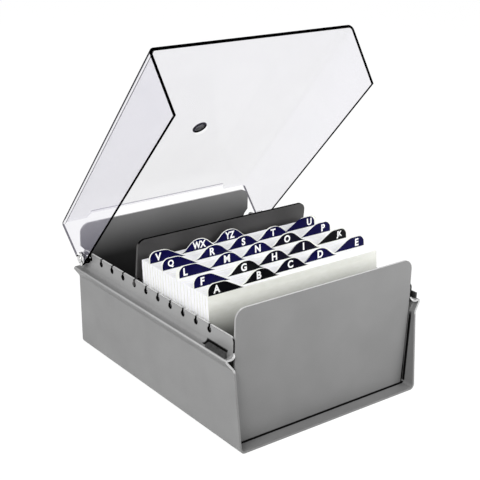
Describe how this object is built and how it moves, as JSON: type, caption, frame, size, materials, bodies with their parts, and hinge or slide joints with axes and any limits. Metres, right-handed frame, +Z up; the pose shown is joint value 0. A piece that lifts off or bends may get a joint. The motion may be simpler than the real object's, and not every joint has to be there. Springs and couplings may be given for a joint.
{
  "type": "index card drawer",
  "caption": "Desk-top steel tray for 3 x 5 in. index cards with a hinged clear hood, a lift-out support plate in notched rails, and lettered guides with card packs.",
  "frame": {"origin": "centre of the tray's underside, on the surface it stands on", "axes": "+Z up, -Y towards the front of the tray, +X to the right seen from the front"},
  "size_m": [0.1476, 0.1844, 0.2107],
  "materials": {
    "painted_steel": "satin grey enamel",
    "clear_plastic": "clear polystyrene, glossy",
    "badge_black": "gloss black",
    "pin_steel": "plain zinc-plated rivet",
    "rest_rubber": "matt black rubber",
    "plate_grey": "dark grey enamel",
    "guide_board": "off-white board with dark blue printed tabs",
    "card_paper": "white index card stock"
  },
  "bodies": {
    "tray": {"tray": "painted_steel", "front_panel": "painted_steel", "rear_panel": "painted_steel", "hinge_pin_left": "pin_steel", "hinge_pin_right": "pin_steel", "hood_rest_left": "rest_rubber", "hood_rest_right": "rest_rubber"},
    "hood": {"hood": "clear_plastic", "hood_badge": "badge_black"},
    "support_plate": {"support_plate": "plate_grey"},
    "section_a": {"guide_a": "guide_board", "cards_a": "card_paper"},
    "section_b": {"guide_b": "guide_board", "cards_b": "card_paper"},
    "section_c": {"guide_c": "guide_board", "cards_c": "card_paper"},
    "section_d": {"guide_d": "guide_board", "cards_d": "card_paper"},
    "section_e": {"guide_e": "guide_board", "cards_e": "card_paper"},
    "section_f": {"guide_f": "guide_board", "cards_f": "card_paper"},
    "section_g": {"guide_g": "guide_board", "cards_g": "card_paper"},
    "section_h": {"guide_h": "guide_board", "cards_h": "card_paper"},
    "section_i": {"guide_i": "guide_board", "cards_i": "card_paper"},
    "section_jk": {"guide_jk": "guide_board", "cards_jk": "card_paper"},
    "section_l": {"guide_l": "guide_board", "cards_l": "card_paper"},
    "section_m": {"guide_m": "guide_board", "cards_m": "card_paper"},
    "section_n": {"guide_n": "guide_board", "cards_n": "card_paper"},
    "section_o": {"guide_o": "guide_board", "cards_o": "card_paper"},
    "section_p": {"guide_p": "guide_board", "cards_p": "card_paper"},
    "section_q": {"guide_q": "guide_board", "cards_q": "card_paper"},
    "section_r": {"guide_r": "guide_board", "cards_r": "card_paper"},
    "section_s": {"guide_s": "guide_board", "cards_s": "card_paper"},
    "section_t": {"guide_t": "guide_board", "cards_t": "card_paper"},
    "section_u": {"guide_u": "guide_board", "cards_u": "card_paper"},
    "section_v": {"guide_v": "guide_board", "cards_v": "card_paper"},
    "section_wx": {"guide_wx": "guide_board", "cards_wx": "card_paper"},
    "section_yz": {"guide_yz": "guide_board", "cards_yz": "card_paper"}
  },
  "joints": [
    {"name": "hood_hinge", "type": "hinge", "parent": "tray", "child": "hood", "pos_m": [0, 0.0758, 0.0638], "axis": [-1, 0, 0], "range_deg": [-49.2, 40.8]},
    {"name": "plate_lift", "type": "slide", "parent": "tray", "child": "support_plate", "axis": [0, 0.1045, 0.9945], "range_m": [0, 0.05]},
    {"name": "lift_a", "type": "slide", "parent": "tray", "child": "section_a", "axis": [0, 0.1045, 0.9945], "range_m": [0, 0.05]},
    {"name": "lift_b", "type": "slide", "parent": "tray", "child": "section_b", "axis": [0, 0.1045, 0.9945], "range_m": [0, 0.05]},
    {"name": "lift_c", "type": "slide", "parent": "tray", "child": "section_c", "axis": [0, 0.1045, 0.9945], "range_m": [0, 0.05]},
    {"name": "lift_d", "type": "slide", "parent": "tray", "child": "section_d", "axis": [0, 0.1045, 0.9945], "range_m": [0, 0.05]},
    {"name": "lift_e", "type": "slide", "parent": "tray", "child": "section_e", "axis": [0, 0.1045, 0.9945], "range_m": [0, 0.05]},
    {"name": "lift_f", "type": "slide", "parent": "tray", "child": "section_f", "axis": [0, 0.1045, 0.9945], "range_m": [0, 0.05]},
    {"name": "lift_g", "type": "slide", "parent": "tray", "child": "section_g", "axis": [0, 0.1045, 0.9945], "range_m": [0, 0.05]},
    {"name": "lift_h", "type": "slide", "parent": "tray", "child": "section_h", "axis": [0, 0.1045, 0.9945], "range_m": [0, 0.05]},
    {"name": "lift_i", "type": "slide", "parent": "tray", "child": "section_i", "axis": [0, 0.1045, 0.9945], "range_m": [0, 0.05]},
    {"name": "lift_jk", "type": "slide", "parent": "tray", "child": "section_jk", "axis": [0, 0.1045, 0.9945], "range_m": [0, 0.05]},
    {"name": "lift_l", "type": "slide", "parent": "tray", "child": "section_l", "axis": [0, 0.1045, 0.9945], "range_m": [0, 0.05]},
    {"name": "lift_m", "type": "slide", "parent": "tray", "child": "section_m", "axis": [0, 0.1045, 0.9945], "range_m": [0, 0.05]},
    {"name": "lift_n", "type": "slide", "parent": "tray", "child": "section_n", "axis": [0, 0.1045, 0.9945], "range_m": [0, 0.05]},
    {"name": "lift_o", "type": "slide", "parent": "tray", "child": "section_o", "axis": [0, 0.1045, 0.9945], "range_m": [0, 0.05]},
    {"name": "lift_p", "type": "slide", "parent": "tray", "child": "section_p", "axis": [0, 0.1045, 0.9945], "range_m": [0, 0.05]},
    {"name": "lift_q", "type": "slide", "parent": "tray", "child": "section_q", "axis": [0, 0.1045, 0.9945], "range_m": [0, 0.05]},
    {"name": "lift_r", "type": "slide", "parent": "tray", "child": "section_r", "axis": [0, 0.1045, 0.9945], "range_m": [0, 0.05]},
    {"name": "lift_s", "type": "slide", "parent": "tray", "child": "section_s", "axis": [0, 0.1045, 0.9945], "range_m": [0, 0.05]},
    {"name": "lift_t", "type": "slide", "parent": "tray", "child": "section_t", "axis": [0, 0.1045, 0.9945], "range_m": [0, 0.05]},
    {"name": "lift_u", "type": "slide", "parent": "tray", "child": "section_u", "axis": [0, 0.1045, 0.9945], "range_m": [0, 0.05]},
    {"name": "lift_v", "type": "slide", "parent": "tray", "child": "section_v", "axis": [0, 0.1045, 0.9945], "range_m": [0, 0.05]},
    {"name": "lift_wx", "type": "slide", "parent": "tray", "child": "section_wx", "axis": [0, 0.1045, 0.9945], "range_m": [0, 0.05]},
    {"name": "lift_yz", "type": "slide", "parent": "tray", "child": "section_yz", "axis": [0, 0.1045, 0.9945], "range_m": [0, 0.05]}
  ]
}
